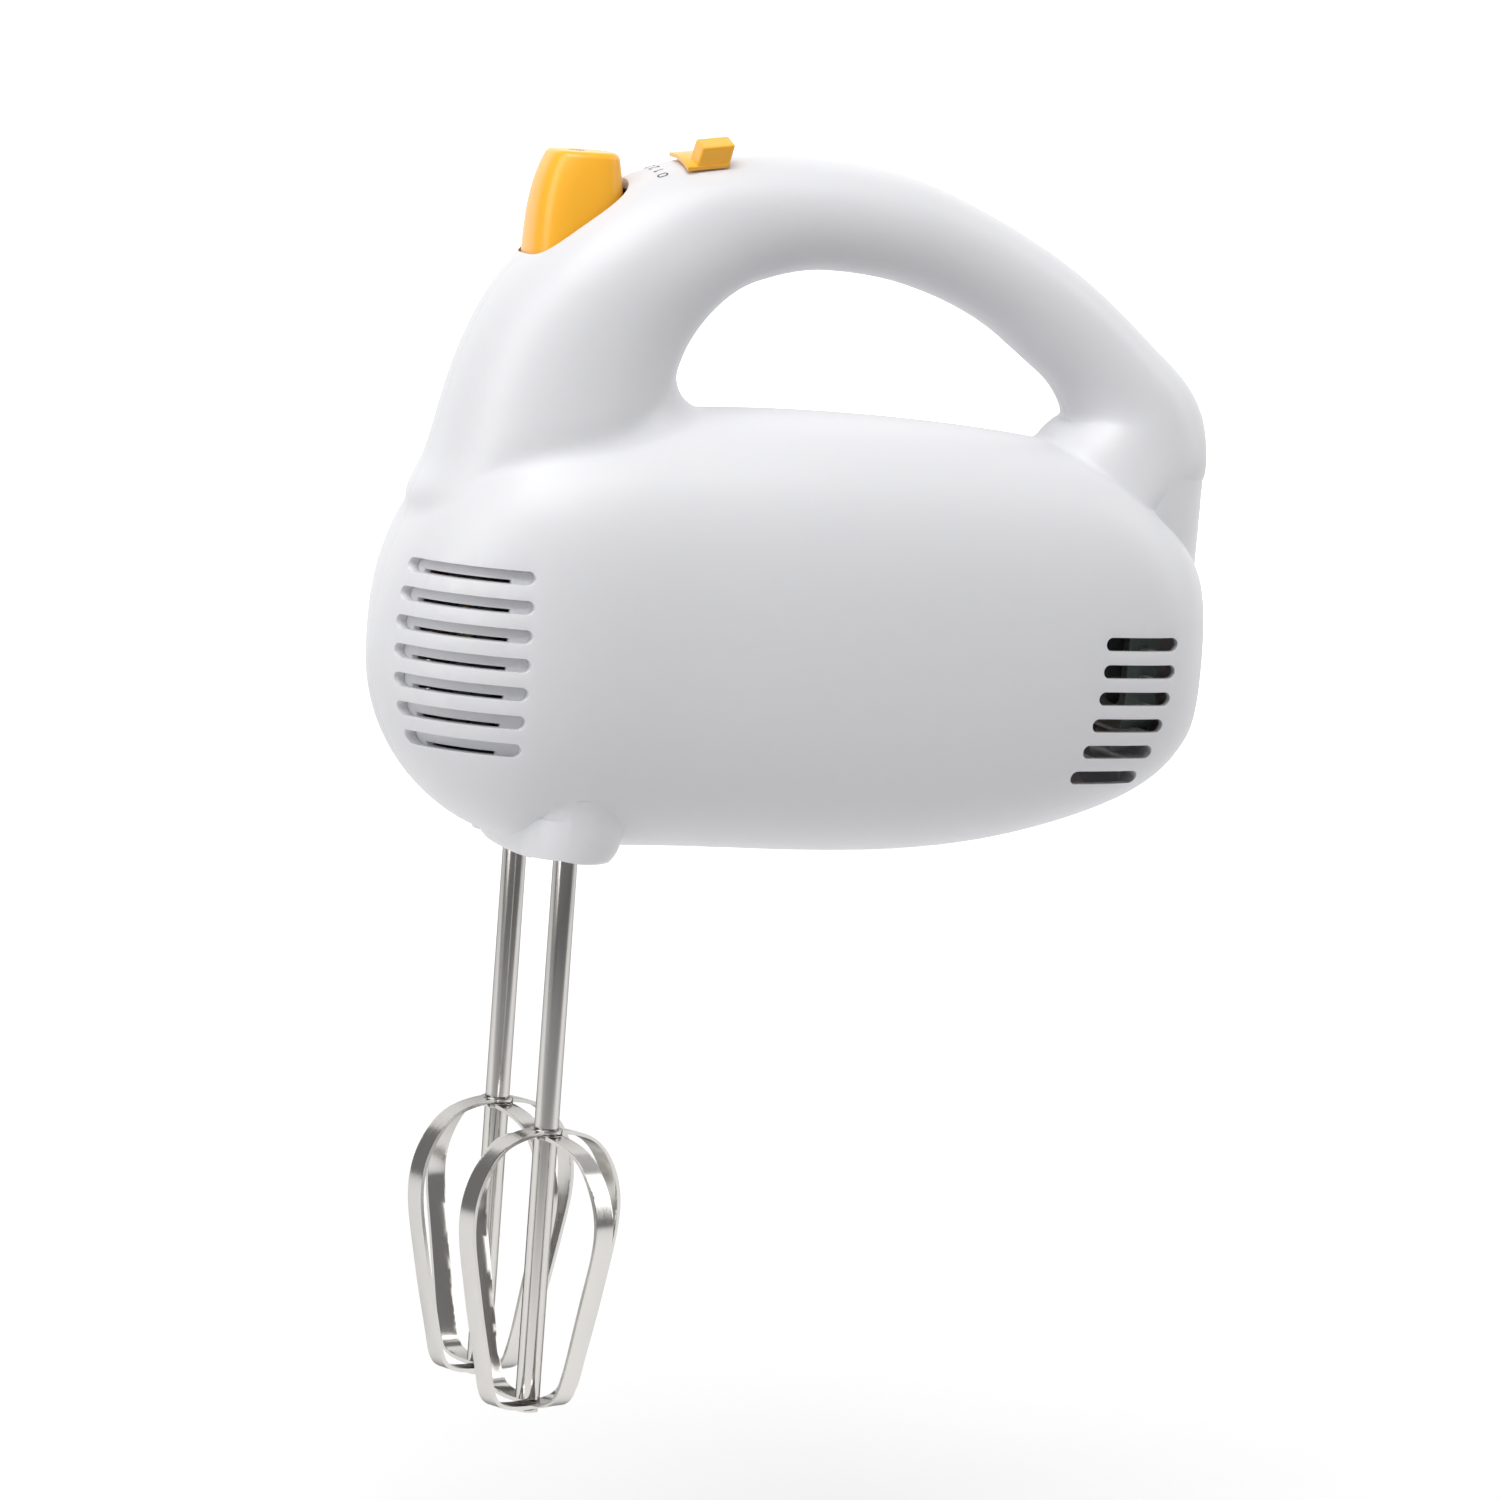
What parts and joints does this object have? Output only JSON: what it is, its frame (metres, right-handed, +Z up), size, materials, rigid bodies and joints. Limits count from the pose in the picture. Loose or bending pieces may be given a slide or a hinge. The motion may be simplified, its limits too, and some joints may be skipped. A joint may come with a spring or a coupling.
{
  "type": "hand mixer",
  "caption": "Hand mixer with a looped handle, vented motor pod, speed slider, eject button and two push-out wire-strip beaters turned by a worm drive.",
  "frame": {"origin": "centre of the handle's grip bar, on the middle plane", "axes": "+Z up along the beater shafts, +X towards the heel and cord inlet, +Y to the mixer's right; the nose faces -X"},
  "size_m": [0.2079, 0.0893, 0.3136],
  "materials": {
    "white_shell": "satin",
    "yellow_plastic": "satin",
    "polished_steel": "polished",
    "steel": "satin",
    "bronze": "matte",
    "laminations": "matte",
    "copper": "lacquered",
    "brass": "satin",
    "carbon": "matte",
    "nylon": "satin",
    "grey_plastic": "matte",
    "black_plastic": "satin",
    "black_rubber": "matte",
    "wire_cover": "satin"
  },
  "bodies": {
    "housing": {"housing_left": "white_shell", "housing_right": "white_shell", "front_louvre": "white_shell", "housing_screws": "steel", "cord_gland": "black_rubber", "cord_clamp": "black_plastic", "clamp_screws": "steel", "gear_frame": "grey_plastic", "gear_bridge": "grey_plastic", "bridge_screws": "steel", "spindle_bushes": "bronze", "thrust_washers": "steel", "front_bearings": "bronze", "rear_bearing": "bronze", "stator_core": "laminations", "field_coils": "copper", "motor_screws": "steel", "brush_plate": "grey_plastic", "brush_holders": "brass", "carbon_brushes": "carbon", "brush_springs": "steel", "rear_bracket": "grey_plastic", "switch_block": "black_plastic", "switch_contacts": "brass", "lead_wires": "wire_cover"},
    "rotor": {"motor_shaft": "steel", "worm": "steel", "fan": "black_plastic", "armature_core": "laminations", "armature_windings": "copper", "commutator": "copper"},
    "eject_button": {"eject_button": "yellow_plastic", "eject_yoke": "nylon", "eject_spring": "steel"},
    "speed_slider": {"speed_slider": "yellow_plastic", "slider_carriage": "nylon"},
    "spindle_left": {"spindle_left": "steel", "worm_wheel_left": "nylon"},
    "ejector_pin_left": {"ejector_pin_left": "steel"},
    "beater_left": {"beater_shaft_left": "polished_steel", "beater_outer_strip_left": "polished_steel", "beater_inner_strip_left": "polished_steel"},
    "spindle_right": {"spindle_right": "steel", "worm_wheel_right": "nylon"},
    "ejector_pin_right": {"ejector_pin_right": "steel"},
    "beater_right": {"beater_shaft_right": "polished_steel", "beater_outer_strip_right": "polished_steel", "beater_inner_strip_right": "polished_steel"}
  },
  "joints": [
    {"name": "rotor_spin", "type": "hinge", "parent": "housing", "child": "rotor", "pos_m": [-0.07, 0, -0.104], "axis": [1, 0, 0], "continuous": true},
    {"name": "eject_press", "type": "slide", "parent": "housing", "child": "eject_button", "axis": [0, 0, -1], "range_m": [0, 0.005], "stiffness_N_per_m": 900, "springref_m": -0.004, "deforming": ["eject_spring"]},
    {"name": "speed_swing", "type": "hinge", "parent": "housing", "child": "speed_slider", "pos_m": [-0.0361, 0, -0.01443], "axis": [-0.9903, 0, -0.1392], "range_deg": [0, 38]},
    {"name": "spindle_left_spin", "type": "hinge", "parent": "housing", "child": "spindle_left", "pos_m": [-0.07, -0.0215, -0.104], "axis": [0, 0, 1], "continuous": true},
    {"name": "pin_left_push", "type": "slide", "parent": "spindle_left", "child": "ejector_pin_left", "axis": [0, 0, -1], "range_m": [0, 0.005]},
    {"name": "beater_left_release", "type": "slide", "parent": "ejector_pin_left", "child": "beater_left", "axis": [0, 0, -1], "range_m": [0, 0.045]},
    {"name": "spindle_right_spin", "type": "hinge", "parent": "housing", "child": "spindle_right", "pos_m": [-0.07, 0.0215, -0.104], "axis": [0, 0, 1], "continuous": true},
    {"name": "pin_right_push", "type": "slide", "parent": "spindle_right", "child": "ejector_pin_right", "axis": [0, 0, -1], "range_m": [0, 0.005]},
    {"name": "beater_right_release", "type": "slide", "parent": "ejector_pin_right", "child": "beater_right", "axis": [0, 0, -1], "range_m": [0, 0.045]}
  ],
  "couplings": [
    {"joint": "spindle_left_spin", "follows": "rotor_spin", "ratio": 0.076923},
    {"joint": "spindle_right_spin", "follows": "rotor_spin", "ratio": -0.076923},
    {"joint": "pin_left_push", "follows": "eject_press", "ratio": 1},
    {"joint": "pin_right_push", "follows": "eject_press", "ratio": 1}
  ]
}
